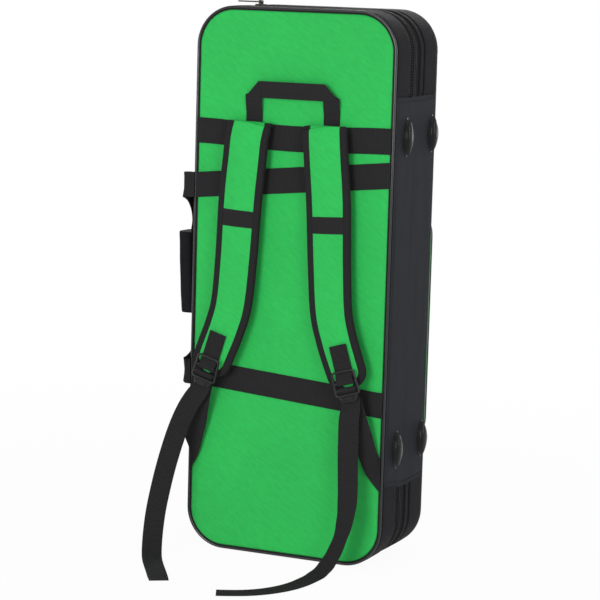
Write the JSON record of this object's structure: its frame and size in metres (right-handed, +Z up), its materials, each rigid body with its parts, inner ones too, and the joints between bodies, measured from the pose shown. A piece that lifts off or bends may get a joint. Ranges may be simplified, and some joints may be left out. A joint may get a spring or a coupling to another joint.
{
  "type": "tenor saxophone case",
  "caption": "Upright zip-closed padded case for a tenor saxophone, with shoulder straps, a grab handle, wrapped carry handles, side feet and a front pocket.",
  "frame": {"origin": "floor level, middle of the case's width and of its back half's depth", "axes": "+X to the hinge side, -Y out of the back panel with the straps, +Z up the case"},
  "size_m": [0.373, 0.4372, 0.8283],
  "materials": {
    "green_nylon": "matt",
    "black_nylon": "matt",
    "black_webbing": "matt",
    "piping": "satin",
    "zip_tape": "matt",
    "zip_chain": "satin",
    "slider_metal": "brushed",
    "buckle_plastic": "satin",
    "foot_rubber": "matt",
    "foam": "matt",
    "plush_lining": "soft pile",
    "box_board": "matt"
  },
  "bodies": {
    "back_half": {"back_shell": "foam", "back_lining": "plush_lining", "back_cover": "green_nylon", "back_piping": "piping", "back_gusset": "black_nylon", "back_zip_tape": "zip_tape", "back_zip_chain": "zip_chain", "hinge_panel_back": "black_nylon", "back_feet": "foot_rubber", "yoke_band": "black_webbing", "upper_handle_band": "black_webbing", "lower_handle_band": "black_webbing", "grab_handle_feet": "black_webbing", "left_strap_anchor": "black_webbing", "right_strap_anchor": "black_webbing", "bow_cradle": "plush_lining", "bell_cradle": "plush_lining", "neck_rest": "plush_lining", "accessory_box": "box_board"},
    "lid_half": {"lid_shell": "foam", "lid_lining": "plush_lining", "lid_cover": "green_nylon", "lid_piping": "piping", "lid_gusset": "black_nylon", "lid_zip_welt": "black_nylon", "lid_zip_tape": "zip_tape", "lid_zip_chain": "zip_chain", "hinge_panel_lid": "black_nylon", "lid_feet": "foot_rubber", "lid_handle_band": "black_webbing", "front_pocket": "green_nylon", "pocket_zip_chain": "zip_chain", "lid_pad": "plush_lining"},
    "accessory_box_lid": {"accessory_lid": "plush_lining"},
    "grab_handle": {"grab_handle": "black_webbing"},
    "back_carry_handle": {"back_carry_loop": "black_webbing", "back_carry_grip": "black_nylon"},
    "lid_carry_handle": {"lid_carry_loop": "black_webbing", "lid_carry_grip": "black_nylon"},
    "left_strap": {"left_strap_pad": "green_nylon", "left_strap_binding": "black_webbing", "left_strap_keeper": "black_webbing", "left_buckle_tab": "black_webbing"},
    "left_lock": {"left_ladder_lock": "buckle_plastic", "left_strap_tail": "black_webbing"},
    "right_strap": {"right_strap_pad": "green_nylon", "right_strap_binding": "black_webbing", "right_strap_keeper": "black_webbing", "right_buckle_tab": "black_webbing"},
    "right_lock": {"right_ladder_lock": "buckle_plastic", "right_strap_tail": "black_webbing"},
    "top_slider": {"top_slider": "slider_metal"},
    "top_pull": {"top_slider_pull": "slider_metal"},
    "side_slider": {"side_slider": "slider_metal"},
    "side_pull": {"side_slider_pull": "slider_metal"},
    "pocket_slider": {"pocket_slider": "slider_metal"},
    "pocket_pull": {"pocket_slider_pull": "slider_metal"}
  },
  "joints": [
    {"name": "lid_hinge", "type": "hinge", "parent": "back_half", "child": "lid_half", "pos_m": [0.16, 0.0375, 0.41], "axis": [0, 0, -1], "range_deg": [0, 135]},
    {"name": "accessory_lid_hinge", "type": "hinge", "parent": "back_half", "child": "accessory_box_lid", "pos_m": [0.0762, 0.0239, 0.67], "axis": [0, 0, 1], "range_deg": [0, 100]},
    {"name": "grab_handle_swing", "type": "hinge", "parent": "back_half", "child": "grab_handle", "pos_m": [0, -0.038, 0.665], "axis": [1, 0, 0], "range_deg": [0, 75]},
    {"name": "back_carry_swing", "type": "hinge", "parent": "back_half", "child": "back_carry_handle", "pos_m": [-0.158, -0.0386, 0.41], "axis": [0, 0, 1], "range_deg": [0, 60]},
    {"name": "lid_carry_swing", "type": "hinge", "parent": "lid_half", "child": "lid_carry_handle", "pos_m": [-0.161, 0.123, 0.41], "axis": [0, 0, -1], "range_deg": [0, 60]},
    {"name": "left_strap_swing", "type": "hinge", "parent": "back_half", "child": "left_strap", "pos_m": [0, -0.0394, 0.6568], "axis": [-1, 0, 0], "range_deg": [0, 20], "deforming": ["left_strap_anchor"]},
    {"name": "right_strap_swing", "type": "hinge", "parent": "back_half", "child": "right_strap", "pos_m": [0, -0.0394, 0.6568], "axis": [-1, 0, 0], "range_deg": [0, 20], "deforming": ["right_strap_anchor"]},
    {"name": "left_lock_tilt", "type": "hinge", "parent": "left_strap", "child": "left_lock", "pos_m": [-0.1127, -0.06786, 0.2943], "axis": [-0.9563, 0, 0.2924], "range_deg": [0, 20]},
    {"name": "right_lock_tilt", "type": "hinge", "parent": "right_strap", "child": "right_lock", "pos_m": [0.1057, -0.06786, 0.2943], "axis": [-0.9563, 0, -0.2924], "range_deg": [0, 20]},
    {"name": "top_zip_travel", "type": "slide", "parent": "back_half", "child": "top_slider", "axis": [1, 0, 0], "range_m": [0, 0.18]},
    {"name": "top_pull_flip", "type": "hinge", "parent": "top_slider", "child": "top_pull", "pos_m": [-0.092, 0.0375, 0.8253], "axis": [0, 1, 0], "range_deg": [0, 150]},
    {"name": "side_zip_travel", "type": "slide", "parent": "back_half", "child": "side_slider", "axis": [0, 0, -1], "range_m": [0, 0.62]},
    {"name": "side_pull_flip", "type": "hinge", "parent": "side_slider", "child": "side_pull", "pos_m": [-0.1653, 0.0375, 0.752], "axis": [0, 1, 0], "range_deg": [0, 150]},
    {"name": "pocket_zip_travel", "type": "slide", "parent": "lid_half", "child": "pocket_slider", "axis": [1, 0, 0], "range_m": [0, 0.19]},
    {"name": "pocket_pull_flip", "type": "hinge", "parent": "pocket_slider", "child": "pocket_pull", "pos_m": [-0.095, 0.1343, 0.5357], "axis": [0, 1, 0], "range_deg": [0, 150]}
  ]
}
